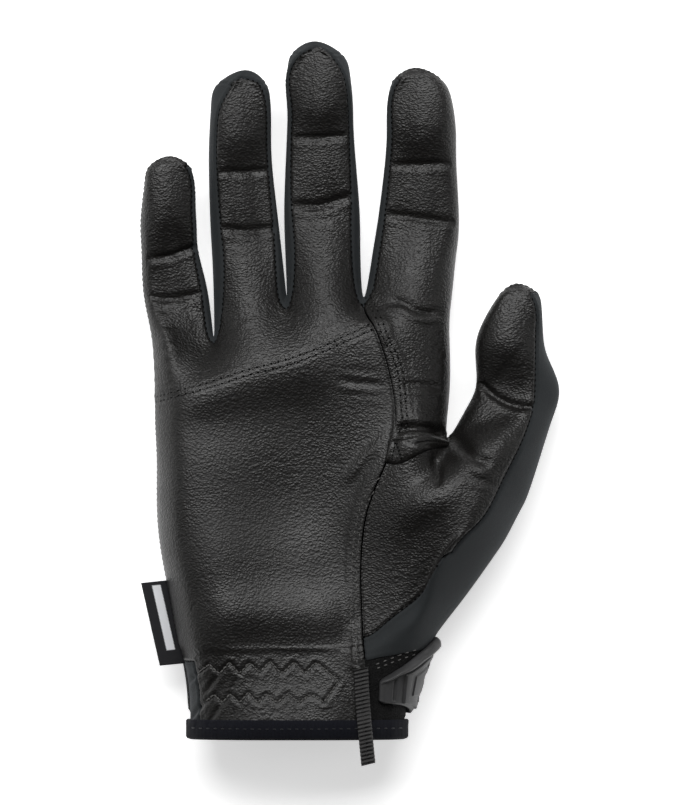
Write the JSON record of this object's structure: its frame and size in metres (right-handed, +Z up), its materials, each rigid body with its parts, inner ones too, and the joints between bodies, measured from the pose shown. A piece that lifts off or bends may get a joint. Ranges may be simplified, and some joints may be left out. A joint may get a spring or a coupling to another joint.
{
  "type": "patrol glove",
  "caption": "Right-hand duty glove with a leather palm, stretch fabric back, wrist strap with moulded tab and webbing pull tab, lying palm up.",
  "frame": {"origin": "middle of the glove's outline, on the surface that its back rests on", "axes": "+X to the thumb side, +Y to the fingertips, +Z up out of the palm"},
  "size_m": [0.1466, 0.2525, 0.0407],
  "materials": {
    "leather": "black grained goatskin, semi-gloss",
    "softshell": "dark slate stretch fabric, matt",
    "loop_fabric": "black fuzzy loop fabric",
    "knit_binding": "black knit binding tape",
    "strap_fabric": "black strap fabric, matt",
    "rubber": "dark grey moulded rubber, satin",
    "webbing": "black ribbed webbing",
    "label": "black woven tape with a white woven bar"
  },
  "bodies": {
    "root": {"palm_panel": "leather", "finger_panel": "leather", "index_panel": "leather", "thumb_panel": "leather", "hand_back": "softshell", "thumb_side": "softshell", "fourchette_pinky_ring": "softshell", "fourchette_ring_middle": "softshell", "fourchette_middle_index": "softshell", "wrist_loop_panel": "loop_fabric", "cuff_binding": "knit_binding", "closure_strap": "strap_fabric", "strap_tab": "rubber", "pull_tab": "webbing", "side_label": "label"}
  },
  "joints": []
}
